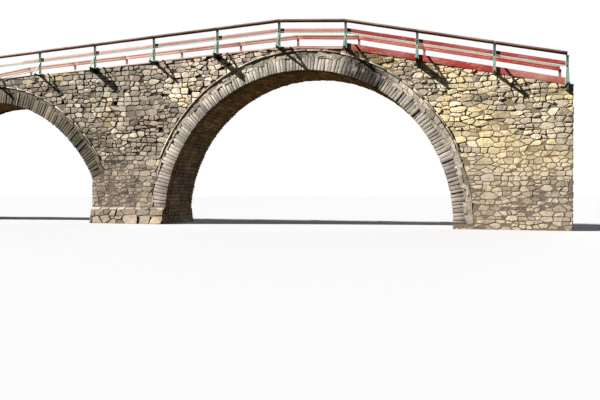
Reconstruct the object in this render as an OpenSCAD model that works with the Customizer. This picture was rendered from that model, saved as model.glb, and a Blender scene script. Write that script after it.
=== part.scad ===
/* [Masonry] */
// Thickness of the bridge from face to face
wall_w = 2100; // [1800:50:2600]
// Thickness of each spandrel wall
spandrel_t = 450; // [350:10:600]
// Length of the pier between the two arches
pier_w = 3400; // [3000:50:4000]
// Length of the masonry behind the main arch's right foot
right_abutment_len = 3700; // [3300:50:4200]
// Length of the masonry behind the side arch's left foot
left_abutment_len = 3900; // [3500:50:4400]
// Height of the pier and abutments over the side arch's skewbacks
bed_h = 55; // [30:5:100]
// Thickness of the wall that closes each end
end_wall_t = 600; // [400:20:800]
// How far the pier's battered footing stands out
footing_out = 200; // [100:10:300]
// Height of the pier's battered footing
footing_h = 550; // [300:10:800]

/* [Main arch] */
// Clear span of the round main arch
main_span = 11000; // [10700:20:11300]
// Height of its springing above the water
main_spring_h = 190; // [100:10:400]

/* [Side arch] */
// Clear span of the segmental side arch
side_span = 10800; // [10500:20:11100]
// Height of its springing above the water
side_spring_h = 1850; // [1700:10:1900]
// Rise of its soffit above the springing
side_rise = 3340; // [3200:10:3500]

/* [Arch stones] */
// Height of the ring of arch stones
ring_t = 660; // [560:10:700]
// How far the arch stones reach into the barrel
ring_depth = 250; // [150:10:400]
// Number of arch stones in the main ring
main_stones = 138; // [100:1:150]
// Number of arch stones in the side ring
side_stones = 112; // [80:1:130]
// Open joint between two arch stones
stone_joint = 14; // [6:1:20]
// How much the arch stones vary in thickness
stone_vary = 0.25; // [0:0.05:0.3]
// How much their faces stand in or out of the wall
face_vary = 10; // [0:1:14]
// Number of courses in the main barrel
main_courses = 24; // [18:1:30]
// Number of courses in the side barrel
side_courses = 18; // [14:1:24]
// Open joint between two courses of a barrel
course_joint = 10; // [4:1:16]
// Thickness of the string course over the ring
string_t = 70; // [40:5:90]
// How far the string course stands out of the wall
string_out = 45; // [20:5:80]
// Number of slabs in the main string course
main_slabs = 26; // [16:1:34]
// Number of slabs in the side string course
side_slabs = 24; // [16:1:32]
// Open joint between two slabs
slab_joint = 6; // [2:1:12]
// Height above the water at which the string course starts
string_low = 2600; // [2500:50:3200]

/* [Deck] */
// Masonry between the main string course and the beam beside the crown
main_cover = 98; // [90:2:154]
// The same at the next beam outward
main_brow_cover = 106; // [54:2:114]
// Masonry between the side string course and the beam beside the crown
side_cover = 170; // [154:2:234]
// The same at the next beam outward
side_brow_cover = 248; // [224:2:294]
// Slope of the left ramp in degrees
left_ramp_deg = 11.6; // [8:0.2:14]
// Slope of the right ramp in degrees
right_ramp_deg = 13.2; // [8:0.2:14]
// Thickness of the paving
paving_t = 45; // [30:5:160]
// Strip left bare along each edge of the walls
paving_in = 30; // [10:5:80]
// How far the paving oversails the end walls
paving_out = 30; // [10:5:60]

/* [Posts] */
// Distance between the posts over the pier
mid_bay = 2760; // [2600:10:2900]
// Distance between the posts beyond them
side_bay = 2500; // [2350:10:2700]
// Shift of the row of posts from the middle of the pier
post_shift = -130; // [-200:10:200]
// Distance from the bridge's end to its last post
end_post_in = 200; // [150:10:400]
// Width of a post's channel
post_w = 90; // [70:2:120]
// Depth of a post's channel
post_d = 50; // [40:2:70]
// Thickness of the channel's steel
post_t = 7; // [4:1:10]
// Gap between the wall's face and the posts' inner face
post_gap = 32; // [30:1:60]
// Length and width of a post's foot plate
plate_w = 110; // [96:2:140]
// Thickness of a foot plate
plate_t = 10; // [6:1:16]

/* [Beams and braces] */
// How far the beams reach past the walls
beam_out = 400; // [300:10:500]
// Height of a heavy deck beam
beam_h = 200; // [150:5:220]
// Width of its flanges
beam_w = 100; // [80:2:106]
// Height of a light beam, beside the crowns and between the heavy ones
light_beam_h = 66; // [50:2:80]
// Width of its flanges
light_beam_w = 70; // [60:2:80]
// Thickness of the flanges
flange_t = 9; // [6:1:12]
// Thickness of the web
web_t = 6; // [5:1:10]
// Height at which a brace meets its post
brace_h = 600; // [450:10:640]
// Width of a brace
brace_w = 70; // [40:2:74]
// Length of a brace's foot on the beam
brace_foot = 16; // [10:1:30]
// Distance from the beam's tip to the brace
brace_in = 20; // [5:5:60]

/* [Boards] */
// Height of the handrail's top above the wall
rail_h = 1030; // [900:10:1200]
// Width of the handrail board
rail_w = 150; // [110:5:200]
// Thickness of the handrail board
rail_t = 60; // [40:2:80]
// Height of the bearer under the handrail board
bearer_h = 45; // [30:5:60]
// Thickness of the upright boards
board_t = 28; // [18:1:30]
// Height of the upper board's lower edge
upper_z = 605; // [600:5:700]
// Height of the upper board
upper_h = 115; // [80:5:180]
// Height of the upper board on the ramps
ramp_upper_h = 130; // [80:5:180]
// Height of the boards under the back handrail
back_upper_h = 115; // [80:5:180]
// Height of the toe boards
toe_h = 45; // [40:5:220]
// Height of the toe boards on the ramps
ramp_toe_h = 200; // [60:5:240]
// Gap under the toe boards
toe_gap = 10; // [5:1:40]
// Height of the steel rail bar's lower edge
bar_z = 545; // [480:5:555]
// Height of the rail bar
bar_h = 40; // [20:2:40]
// Thickness of the rail bar
bar_t = 10; // [6:1:20]
// Joint between boards that meet on a post
board_joint = 4; // [2:1:12]
// How far the loose toe board's free end has lifted
loose_lift = 210; // [0:10:300]
// How far that end falls short of its post
loose_short = 180; // [0:10:400]

/* [Putlog holes] */
// Places of the four holes along the bridge
putlog_x = [-3130, -570, 1510, 2820]; // [-3200:10:3000]
// Heights of the four holes above the water
putlog_z = [5000, 4860, 3750, 5090]; // [3600:10:5200]
// Width and height of a putlog hole
putlog = 150; // [100:10:200]
// Depth of a putlog hole
putlog_deep = 300; // [150:10:340]

/* [Hidden] */
$fn = 720;
half_w = wall_w / 2;
far = 60000;
eps = 1;

main_r = main_span / 2;
main_x = pier_w / 2 + main_r;
side_r = (side_span * side_span / 4 + side_rise * side_rise) / (2 * side_rise);
side_x = -pier_w / 2 - side_span / 2;
side_z = side_spring_h + side_rise - side_r;
side_a = asin((side_spring_h - side_z) / side_r);
pier_top = side_z + (side_r + ring_t) * sin(side_a) + bed_h;
main_string_a = asin((string_low - main_spring_h) / (main_r + ring_t));
side_string_a = asin((string_low - side_z) / (side_r + ring_t));

right_end = pier_w / 2 + main_span + right_abutment_len;
left_end = -pier_w / 2 - side_span - left_abutment_len;

// Posts: four over the pier, four more each way, and one at each end
half_mid = 1.5 * mid_bay;
side_posts = 4;
post_x = concat(
    [left_end + end_post_in],
    [for (i = [side_posts:-1:1]) post_shift - half_mid - i * side_bay],
    [for (i = [0:3]) post_shift - half_mid + i * mid_bay],
    [for (i = [1:side_posts]) post_shift + half_mid + i * side_bay],
    [right_end - end_post_in]);
last_post = len(post_x) - 1;
left_brow = 3;
left_crown = 4;
right_crown = 9;
right_brow = 10;
loose_bay = left_crown;
heavy_posts = [0, 2, 6, 8, 11, 13];

// Height of the string course's top over each arch at a place x
function main_top(x) = main_spring_h + sqrt(pow(main_r + ring_t + string_t, 2) - pow(x - main_x, 2));
function side_top(x) = side_z + sqrt(pow(side_r + ring_t + string_t, 2) - pow(x - side_x, 2));

// The deck line bends at the two posts beside each crown
left_brow_z = side_top(post_x[left_brow] + light_beam_w / 2) + light_beam_h + side_brow_cover;
left_crown_z = side_top(post_x[left_crown] - light_beam_w / 2) + light_beam_h + side_cover;
right_crown_z = main_top(post_x[right_crown] + light_beam_w / 2) + light_beam_h + main_cover;
right_brow_z = main_top(post_x[right_brow] - light_beam_w / 2) + light_beam_h + main_brow_cover;
deck_pts = [
    [left_end, left_brow_z - (post_x[left_brow] - left_end) * tan(left_ramp_deg)],
    [post_x[left_brow], left_brow_z],
    [post_x[left_crown], left_crown_z],
    [post_x[right_crown], right_crown_z],
    [post_x[right_brow], right_brow_z],
    [right_end, right_brow_z - (right_end - post_x[right_brow]) * tan(right_ramp_deg)]];
function deck_z(x) = lookup(x, deck_pts);
function on_ramp(i) = i < left_brow || i >= right_brow;

rail_y = half_w + post_gap;

stone = [0.72, 0.68, 0.58];
ring_stone = [0.80, 0.77, 0.70];
dark_stone = [0.42, 0.36, 0.29];
paving_stone = [0.60, 0.57, 0.50];
green_steel = [0.32, 0.50, 0.42];
red_wood = [0.62, 0.30, 0.26];
rail_wood = [0.42, 0.24, 0.19];

// Stands an outline drawn in x and z up in the part's frame, from y0 to y1
module wall(y0, y1) {
    translate([0, y1, 0]) rotate([90, 0, 0]) linear_extrude(y1 - y0) children();
}

module back() {
    mirror([0, 1, 0]) children();
}

module strip(x0, x1, z0, z1) {
    translate([x0, z0]) square([x1 - x0, z1 - z0]);
}

// Everything over two rays that leave the origin at the angles a and 180 - a
module above_rays(a) {
    polygon([[0, 0], far * [cos(a), sin(a)], [0, far], far * [-cos(a), sin(a)]]);
}

// Everything under the deck line, raised by up
module under_deck(up = 0) {
    polygon(concat([[left_end, 0]], [for (p = deck_pts) [p[0], p[1] + up]], [[right_end, 0]]));
}

module main_disc(grow = 0) {
    translate([main_x, main_spring_h]) circle(main_r + grow);
}

module side_disc(grow = 0) {
    translate([side_x, side_z]) circle(side_r + grow);
}

// The main arch with its ring, over its springing
module main_seat() {
    intersection() {
        main_disc(ring_t);
        strip(-far, far, main_spring_h, far);
    }
}

// The side arch with its ring, which ends on radial skewbacks
module side_seat() {
    intersection() {
        side_disc(ring_t);
        translate([side_x, side_z]) above_rays(side_a);
    }
}

module main_string_outline() {
    intersection() {
        difference() {
            main_disc(ring_t + string_t);
            main_disc(ring_t);
        }
        translate([main_x, main_spring_h]) above_rays(main_string_a);
    }
}

module side_string_outline() {
    intersection() {
        difference() {
            side_disc(ring_t + string_t);
            side_disc(ring_t);
        }
        translate([side_x, side_z]) above_rays(side_string_a);
    }
}

// Masonry above the pier and abutments, outside the rings
module spandrel_outline(x0, x1) {
    difference() {
        intersection() {
            under_deck();
            strip(x0, x1, pier_top, far);
        }
        main_disc(ring_t);
        side_disc(ring_t);
        main_string_outline();
        side_string_outline();
    }
}

// A rolled beam's section, hanging from z = 0, with room over it where it is cut out
module beam_section(w, h, room) {
    translate([-w / 2, -flange_t]) square([w, flange_t + room]);
    translate([-web_t / 2, -h]) square([web_t, h]);
    translate([-w / 2, -h]) square([w, flange_t]);
}

function is_heavy(i) = len(search(i, heavy_posts)) > 0;

module beams(room = 0) {
    for (i = [0:last_post])
        translate([post_x[i], 0, deck_z(post_x[i])]) wall(-half_w - beam_out - room, half_w + beam_out + room)
            if (is_heavy(i)) beam_section(beam_w, beam_h, room);
            else beam_section(light_beam_w, light_beam_h, room);
}

module putlog_holes() {
    for (i = [0:len(putlog_x) - 1])
        translate([putlog_x[i] - putlog / 2, -half_w - eps, putlog_z[i] - putlog / 2])
            cube([putlog, putlog_deep + eps, putlog]);
}

module spandrel(x0, x1) {
    difference() {
        wall(-half_w, -half_w + spandrel_t) spandrel_outline(x0, x1);
        beams(eps);
        putlog_holes();
    }
}

// Edges of n pieces of uneven length, as shares of the whole
function running(w) = [for (i = 0, s = 0; i <= len(w); s = s + (i < len(w) ? w[i] : 0), i = i + 1) s];
function edges(n, vary, seed) = running(rands(1 - vary, 1 + vary, n, seed)) / running(rands(1 - vary, 1 + vary, n, seed))[n];

// Start and end of piece k between the angles a and b, with a joint on the sides where it has a neighbour
function starts(cuts, k, a, b, joint) = a + (b - a) * cuts[k] + (k == 0 ? 0 : joint);
function ends(cuts, k, a, b, joint) = a + (b - a) * cuts[k + 1] - (k == len(cuts) - 2 ? 0 : joint);

// Thin wedges round an arch of radius r, from angle a to 180 - a, each with its own face
module arch_stones(r, n, a, seed) {
    cuts = edges(n, stone_vary, seed);
    faces = rands(-face_vary, face_vary, n, seed + 1);
    half_joint = asin(stone_joint / 2 / r);
    for (k = [0:n - 1]) {
        a0 = starts(cuts, k, a, 180 - a, half_joint);
        a1 = ends(cuts, k, a, 180 - a, half_joint);
        wall(-half_w - faces[k], -half_w + ring_depth)
            polygon([r * [cos(a0), sin(a0)], (r + ring_t) * [cos(a0), sin(a0)],
                (r + ring_t) * [cos(a1), sin(a1)], r * [cos(a1), sin(a1)]]);
    }
}

// Part of an arch between the radii r0 and r1 in n pieces, from angle a to 180 - a
module curved_pieces(r0, r1, n, a, joint, y0, y1, vary = 0, seed = 1) {
    cuts = edges(n, vary, seed);
    half_joint = asin(joint / 2 / r0);
    for (k = [0:n - 1]) {
        a0 = starts(cuts, k, a, 180 - a, half_joint);
        a1 = ends(cuts, k, a, 180 - a, half_joint);
        wall(y0, y1) intersection() {
            difference() {
                circle(r1);
                circle(r0);
            }
            polygon([[0, 0], far * [cos(a0), sin(a0)], far * [cos(a1), sin(a1)]]);
        }
    }
}

module main_ring() {
    translate([main_x, 0, main_spring_h]) arch_stones(main_r, main_stones, 0, 11);
}

module side_ring() {
    translate([side_x, 0, side_z]) arch_stones(side_r, side_stones, side_a, 23);
}

module main_string() {
    translate([main_x, 0, main_spring_h])
        curved_pieces(main_r + ring_t, main_r + ring_t + string_t, main_slabs, main_string_a, slab_joint,
            -half_w - string_out, -half_w + spandrel_t, stone_vary, 31);
}

module side_string() {
    translate([side_x, 0, side_z])
        curved_pieces(side_r + ring_t, side_r + ring_t + string_t, side_slabs, side_string_a, slab_joint,
            -half_w - string_out, -half_w + spandrel_t, stone_vary, 47);
}

// Block under one outer arch foot from x0 to x1, with an end wall from e0 to e1
module abutment(x0, x1, e0, e1) {
    difference() {
        union() {
            wall(-half_w, half_w) difference() {
                strip(x0, x1, 0, pier_top);
                main_seat();
                side_seat();
                strip(main_x - main_r, main_x + main_r, -eps, pier_top);
                strip(side_x - side_span / 2, side_x + side_span / 2, -eps, pier_top);
            }
            wall(-half_w, half_w) intersection() {
                under_deck();
                strip(e0, e1, pier_top - eps, far);
            }
        }
        beams(eps);
    }
}

module pier() {
    color(stone) wall(-half_w, half_w) difference() {
        strip(-pier_w / 2, pier_w / 2, 0, pier_top);
        main_seat();
        side_seat();
    }
}

// Battered plinth along both faces of the pier
module pier_footing() {
    color(stone) for (m = [0, 1]) mirror([0, m, 0])
        translate([-pier_w / 2, 0, 0]) rotate([90, 0, 90]) linear_extrude(pier_w)
            polygon([[half_w, 0], [half_w + footing_out, 0], [half_w + footing_out / 2, footing_h],
                [half_w, footing_h + footing_out / 2]]);
}

module left_abutment() {
    color(stone) abutment(left_end + paving_out, side_x, left_end + paving_out, left_end + end_wall_t);
}

module right_abutment() {
    color(stone) abutment(main_x, right_end - paving_out, right_end - end_wall_t, right_end - paving_out);
}

module main_barrel() {
    color(dark_stone) translate([main_x, 0, main_spring_h])
        curved_pieces(main_r, main_r + ring_t, main_courses, 0, course_joint,
            -half_w + ring_depth, half_w - ring_depth);
}

module side_barrel() {
    color(dark_stone) translate([side_x, 0, side_z])
        curved_pieces(side_r, side_r + ring_t, side_courses, side_a, course_joint,
            -half_w + ring_depth, half_w - ring_depth);
}

module main_ring_front() { color(ring_stone) main_ring(); }
module main_ring_back() { color(ring_stone) back() main_ring(); }
module side_ring_front() { color(ring_stone) side_ring(); }
module side_ring_back() { color(ring_stone) back() side_ring(); }

module main_string_front() { color(ring_stone) main_string(); }
module main_string_back() { color(ring_stone) back() main_string(); }
module side_string_front() { color(ring_stone) side_string(); }
module side_string_back() { color(ring_stone) back() side_string(); }

module left_spandrel_front() { color(stone) spandrel(left_end + end_wall_t, side_x); }
module left_spandrel_back() { color(stone) back() spandrel(left_end + end_wall_t, side_x); }
module middle_spandrel_front() { color(stone) spandrel(side_x, main_x); }
module middle_spandrel_back() { color(stone) back() spandrel(side_x, main_x); }
module right_spandrel_front() { color(stone) spandrel(main_x, right_end - end_wall_t); }
module right_spandrel_back() { color(stone) back() spandrel(main_x, right_end - end_wall_t); }

// Rubble packed between the spandrel walls
module fill() {
    color(dark_stone) difference() {
        wall(-half_w + spandrel_t, half_w - spandrel_t) difference() {
            intersection() {
                under_deck();
                strip(left_end + end_wall_t, right_end - end_wall_t, pier_top, far);
            }
            main_disc(ring_t);
            side_disc(ring_t);
        }
        beams(eps);
    }
}

module deck_paving() {
    color(paving_stone) difference() {
        wall(-half_w + paving_in, half_w - paving_in) difference() {
            under_deck(paving_t);
            under_deck();
        }
        beams(eps);
    }
}

module deck_beams() {
    color(green_steel) beams();
}

// Line of constant height over the deck line, as an outline from x0 to x1
module along(i, z0, z1, lift = 0, short = 0) {
    x0 = post_x[i] + board_joint / 2;
    x1 = post_x[i + 1] - board_joint / 2 - short;
    polygon([[x0, deck_z(x0) + z0], [x1, deck_z(x1) + z0 + lift],
        [x1, deck_z(x1) + z1 + lift], [x0, deck_z(x0) + z1]]);
}

// Channel with its web against the boards, cut off under the handrail's bearer
module posts() {
    color(green_steel) for (x = post_x) {
        translate([x - plate_w / 2, -rail_y - plate_w, deck_z(x)]) cube([plate_w, plate_w, plate_t]);
        intersection() {
            translate([x, -rail_y, deck_z(x) + plate_t - eps]) linear_extrude(rail_h) difference() {
                translate([-post_w / 2, -post_d]) square([post_w, post_d]);
                translate([post_t - post_w / 2, -post_d - eps])
                    square([post_w - 2 * post_t, post_d - post_t + eps]);
            }
            wall(-far, far) under_deck(rail_h - rail_t - bearer_h);
        }
    }
}

// Flat bar from the beam's tip up into the channel
module braces() {
    y0 = rail_y + post_t;
    y1 = half_w + beam_out - brace_in;
    w = min(brace_w, post_w - 2 * post_t);
    color(green_steel) for (x = post_x)
        translate([x + w / 2, 0, deck_z(x)]) rotate([90, 0, -90]) linear_extrude(w)
            polygon([[y1 - brace_foot, 0], [y1, 0], [y0, brace_h],
                [y0, brace_h * (1 - brace_foot / (y1 - y0))]]);
}

// Flat board on a bearer as wide as the posts are deep
module handrail() {
    y1 = -rail_y - post_d / 2 + rail_w / 2;
    color(rail_wood) for (i = [0:last_post - 1]) {
        wall(y1 - rail_w, y1) along(i, rail_h - rail_t, rail_h);
        wall(-rail_y - post_d, -rail_y) along(i, rail_h - rail_t - bearer_h, rail_h - rail_t + eps);
    }
}

module upper_boards() {
    color(red_wood) for (i = [0:last_post - 1])
        wall(-rail_y, -rail_y + board_t)
            along(i, upper_z, upper_z + (on_ramp(i) ? ramp_upper_h : upper_h));
}

// Boards against the back handrail's underside
module high_boards() {
    color(red_wood) for (i = [0:last_post - 1])
        wall(-rail_y, -rail_y + board_t) along(i, rail_h - rail_t - back_upper_h, rail_h - rail_t);
}

module rail_bars() {
    color(green_steel) for (i = [0:last_post - 1])
        wall(-rail_y, -rail_y + bar_t) along(i, bar_z, bar_z + bar_h);
}

module toe_boards(loose) {
    color(red_wood) for (i = [0:last_post - 1])
        wall(-rail_y, -rail_y + board_t)
            along(i, toe_gap, toe_gap + (on_ramp(i) ? ramp_toe_h : toe_h),
                i == loose_bay && loose ? loose_lift : 0, i == loose_bay && loose ? loose_short : 0);
}

module posts_front() { posts(); }
module posts_back() { back() posts(); }
module braces_front() { braces(); }
module braces_back() { back() braces(); }
module handrail_front() { handrail(); }
module handrail_back() { back() handrail(); }
module upper_boards_front() { upper_boards(); }
module upper_boards_back() { back() high_boards(); }
module rail_bars_front() { rail_bars(); }
module rail_bars_back() { back() rail_bars(); }
module toe_boards_front() { toe_boards(true); }
module toe_boards_back() { back() toe_boards(false); }

pier();
pier_footing();
left_abutment();
right_abutment();
main_barrel();
side_barrel();
main_ring_front();
main_ring_back();
side_ring_front();
side_ring_back();
main_string_front();
main_string_back();
side_string_front();
side_string_back();
left_spandrel_front();
left_spandrel_back();
middle_spandrel_front();
middle_spandrel_back();
right_spandrel_front();
right_spandrel_back();
fill();
deck_paving();
deck_beams();
posts_front();
posts_back();
braces_front();
braces_back();
handrail_front();
handrail_back();
upper_boards_front();
upper_boards_back();
rail_bars_front();
rail_bars_back();
toe_boards_front();
toe_boards_back();
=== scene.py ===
import bpy, bmesh, math, random
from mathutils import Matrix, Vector, noise


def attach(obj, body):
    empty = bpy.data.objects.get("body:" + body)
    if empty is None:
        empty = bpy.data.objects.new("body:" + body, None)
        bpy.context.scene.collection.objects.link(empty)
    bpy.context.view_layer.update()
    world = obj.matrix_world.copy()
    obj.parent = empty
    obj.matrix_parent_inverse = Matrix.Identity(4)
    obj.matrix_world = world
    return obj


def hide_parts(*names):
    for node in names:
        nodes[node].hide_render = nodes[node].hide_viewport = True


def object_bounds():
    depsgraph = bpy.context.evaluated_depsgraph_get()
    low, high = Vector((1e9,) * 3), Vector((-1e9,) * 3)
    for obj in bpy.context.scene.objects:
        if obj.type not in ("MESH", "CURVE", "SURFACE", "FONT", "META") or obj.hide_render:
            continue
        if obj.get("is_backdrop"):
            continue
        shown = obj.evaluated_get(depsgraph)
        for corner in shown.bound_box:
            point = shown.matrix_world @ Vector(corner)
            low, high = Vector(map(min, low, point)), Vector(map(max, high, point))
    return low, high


noise.seed_set(5)  # the noise vectors are otherwise different in each run

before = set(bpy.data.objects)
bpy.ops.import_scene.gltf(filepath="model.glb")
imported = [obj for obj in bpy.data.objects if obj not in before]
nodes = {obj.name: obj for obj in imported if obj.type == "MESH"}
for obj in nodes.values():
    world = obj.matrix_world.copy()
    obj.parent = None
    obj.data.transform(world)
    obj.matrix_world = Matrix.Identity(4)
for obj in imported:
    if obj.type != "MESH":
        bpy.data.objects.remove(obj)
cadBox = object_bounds()

# sizes of the CAD model, in metres
bridge = {"halfWidth": 1.05, "ring": 0.66, "string": 0.07, "face": 16.37, "end": 16.4, "tread": 0.045,
          "leftFall": 11.6, "rightFall": 13.2, "beamSeat": 0.066, "beamHalf": 0.035}
mainArch = {"x": 7.2, "z": 0.19, "r": 5.5}
sideRise, sideSpan, sideFoot = 3.34, 10.8, 1.85
sideRadius = (sideSpan * sideSpan / 4 + sideRise * sideRise) / (2 * sideRise)
sideArch = {"x": -7.1, "z": sideFoot + sideRise - sideRadius, "r": sideRadius}
sideAngle = math.asin((sideFoot - sideArch["z"]) / sideRadius)
postX = [-16.2, -14.27, -11.77, -9.27, -6.77, -4.27, -1.51, 1.25, 4.01, 6.51, 9.01, 11.51, 14.01, 16.2]
heavyPosts = (0, 2, 6, 8, 11, 13)
putlogs = [(-3.13, 5.0), (-0.57, 4.86), (1.51, 3.75), (2.82, 5.09)]


def overArch(arch, x, cover):  # the deck's height where a beam lies over the string course
    reach = arch["r"] + bridge["ring"] + bridge["string"]
    return arch["z"] + math.sqrt(reach * reach - (x - arch["x"]) ** 2) + bridge["beamSeat"] + cover


leftBrow = overArch(sideArch, postX[3] + bridge["beamHalf"], 0.248)
rightBrow = overArch(mainArch, postX[10] - bridge["beamHalf"], 0.106)
deckLine = [
    (-bridge["end"], leftBrow - (postX[3] + bridge["end"]) * math.tan(math.radians(bridge["leftFall"]))),
    (postX[3], leftBrow),
    (postX[4], overArch(sideArch, postX[4] - bridge["beamHalf"], 0.17)),
    (postX[9], overArch(mainArch, postX[9] + bridge["beamHalf"], 0.098)),
    (postX[10], rightBrow),
    (bridge["end"], rightBrow - (bridge["end"] - postX[10]) * math.tan(math.radians(bridge["rightFall"])))]


def deckAt(x):
    for (x0, z0), (x1, z1) in zip(deckLine, deckLine[1:]):
        if x <= x1:
            return z0 + (z1 - z0) * (x - x0) / (x1 - x0)
    return deckLine[-1][1]


def ink(r, g, b):  # a colour as seen on a screen, 0 to 255, in linear light
    return tuple((c / 255 / 12.92 if c <= 10 else ((c / 255 + 0.055) / 1.055) ** 2.4) for c in (r, g, b)) + (1.0,)


class Wire:
    def __init__(self, graph, socket, colour=False):
        self.graph, self.socket, self.colour = graph, socket, colour

    def join(self, op, a, b):
        return self.graph.blend(1.0, a, b, op) if self.colour else self.graph.math(op, a, b)

    def __add__(self, other): return self.join("ADD", self, other)
    def __radd__(self, other): return self.join("ADD", other, self)
    def __sub__(self, other): return self.join("SUBTRACT", self, other)
    def __rsub__(self, other): return self.join("SUBTRACT", other, self)
    def __mul__(self, other): return self.join("MULTIPLY", self, other)
    def __rmul__(self, other): return self.join("MULTIPLY", other, self)


class Graph:
    def __init__(self, owner):
        owner.use_nodes = True
        self.owner, self.tree = owner, owner.node_tree
        self.tree.nodes.clear()

    def node(self, kind, settings=None, inputs=None, out=0, colour=False):
        made = self.tree.nodes.new(kind)
        for key, value in (settings or {}).items():
            setattr(made, key, value)
        for key, value in (inputs or {}).items():
            if isinstance(value, Wire):
                self.tree.links.new(value.socket, made.inputs[key])
            elif value is not None:
                made.inputs[key].default_value = value
        return Wire(self, made.outputs[out] if len(made.outputs) else None, colour)

    def math(self, op, a, b=None, clamp=False):
        return self.node("ShaderNodeMath", {"operation": op, "use_clamp": clamp}, {0: a, 1: b})

    def blend(self, factor, a, b, mode="MIX"):
        return self.node("ShaderNodeMix", {"data_type": "RGBA", "blend_type": mode, "clamp_factor": True},
                         {0: factor, 6: a, 7: b}, out=2, colour=True)

    def tint(self, red, green, blue):
        return self.node("ShaderNodeCombineColor", {}, {0: red, 1: green, 2: blue}, colour=True)

    def place(self):
        return self.node("ShaderNodeTexCoord", out="Object")

    def stretch(self, scale):
        return self.node("ShaderNodeMapping", {}, {0: self.place(), 3: scale})

    def grain(self, scale, detail=4.0, rough=0.55, place=None, distort=0.0):
        return self.node("ShaderNodeTexNoise", {}, {"Vector": place or self.place(), "Scale": scale, "Detail": detail,
                                                    "Roughness": rough, "Distortion": distort})

    def cells(self, scale):
        return self.node("ShaderNodeTexVoronoi", {}, {"Vector": self.place(), "Scale": scale})

    def between(self, value, low, high, to0=0.0, to1=1.0):
        return self.node("ShaderNodeMapRange", {"clamp": True, "interpolation_type": "SMOOTHSTEP"},
                         {0: value, 1: low, 2: high, 3: to0, 4: to1})

    def axis(self, index):
        return self.node("ShaderNodeSeparateXYZ", {}, {0: self.place()}, out=index)

    def near(self, x, inner, outer, to0=1.0, to1=0.0):  # a band of the bridge's length round x
        return self.between(self.math("ABSOLUTE", self.axis(0) - x), inner, outer, to0, to1)

    def tone(self, channel):  # a piece's marks: 0 light, 1 hue or age, 2 face or joint
        marks = self.node("ShaderNodeAttribute", {"attribute_name": "mark", "attribute_type": "GEOMETRY"},
                          out="Color", colour=True)
        return self.node("ShaderNodeSeparateColor", {}, {0: marks}, out=channel)

    def facing(self, index, walkway=False):
        # how far a face looks along an axis, or across the walkway towards the other railing
        normal = self.node("ShaderNodeNewGeometry", out="Normal")
        turn = self.node("ShaderNodeSeparateXYZ", {}, {0: normal}, out=index)
        if walkway:
            turn = turn * (self.math("SIGN", self.axis(index)) * -1.0)
        return self.between(turn, 0.3, 0.7)

    def finish(self, colour, rough, height=None, strength=0.0, distance=0.0, gloss=0.3):
        normal = None
        if height:
            normal = self.node("ShaderNodeBump", {}, {"Strength": strength, "Distance": distance, "Height": height})
        shader = self.node("ShaderNodeBsdfPrincipled", {}, {"Base Color": colour, "Roughness": rough, "Normal": normal,
                                                            "Specular IOR Level": gloss})
        self.node("ShaderNodeOutputMaterial", {}, {"Surface": shader})
        return self.owner


# where the walls and rings are lighter or darker along the bridge, with painted shade on the wall's left part, and the
# sizes of the stones' grains
wallTones = {"brightBay": 3.2, "bright": 0.46, "usual": 0.96, "right": (8.9, 9.6), "left": (-3.2, -1.8),
             "leftPaintedShade": 0.8, "railPatch": 9.7, "railPatchInk": ink(158, 148, 128), "damp": -1.0,
             "dampAndShadeInk": ink(96, 84, 66), "lichen": 0.35, "lichenInk": ink(206, 202, 190)}
ringTones = {"shoulder": 9.6, "beside": 7.5, "darkPatchInk": ink(92, 86, 87), "underInk": ink(204, 174, 134)}
grains = {"patch": 2.3, "veins": 9.0, "fine": 48.0, "weather": 0.8, "specks": 7.0, "lichen": 14.0, "pits": 21.0}


def wallGlow(g, colour, rightGlow):
    right = g.between(g.axis(0), *wallTones["right"], 1.0, rightGlow)
    bay = g.near(wallTones["brightBay"], 1.2, 2.2, wallTones["bright"]) * g.between(g.axis(2), 4.3, 5.1)
    # painted shade of trees darkens the wall's left part
    glow = right * (bay + wallTones["usual"]) * g.between(g.axis(0), *wallTones["left"], wallTones["leftPaintedShade"], 1.0)
    colour = colour * g.tint(glow, glow, glow * g.between(g.axis(0), *wallTones["right"], 1.0, 0.95))
    # a darker patch on the wall just under the railing near x 9.7
    darkening = g.near(wallTones["railPatch"], 0.4, 1.0) * g.between(g.axis(2), 5.4, 5.8)
    darkening = darkening * g.between(g.grain(2.6, 5.0, 0.6), 0.2, 0.5, 0.4, 0.95)
    return g.blend(darkening, colour, colour * wallTones["railPatchInk"])


# darker patches on the ring's stones
def darkPatches(g, colour, amount):  # on the main ring's right shoulder and beside its crown
    shoulder = g.near(ringTones["shoulder"], 0.3, 1.2) * g.between(g.axis(2), 4.2, 4.9)
    beside = g.near(ringTones["beside"], 0.1, 0.7, 0.8) * g.between(g.axis(2), 5.7, 6.2)
    soot = g.math("ADD", shoulder, beside, clamp=True) * g.between(g.grain(2.6, 5.0, 0.6), 0.25, 0.5)
    return g.blend(soot * amount, colour, colour * ringTones["darkPatchInk"])


def underTint(g, colour, arch):  # browner on the underside of the arch stones
    across = g.node("ShaderNodeCombineXYZ", {}, {0: g.axis(0), 2: g.axis(2)})
    away = g.node("ShaderNodeVectorMath", {"operation": "DISTANCE"}, {0: across, 1: (arch["x"], 0.0, arch["z"])},
                  out="Value")
    edge = g.between(away, arch["r"] + 0.006, arch["r"] + 0.02, 1.0, 0.0)
    return g.blend(edge, colour, colour * ringTones["underInk"])


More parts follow.
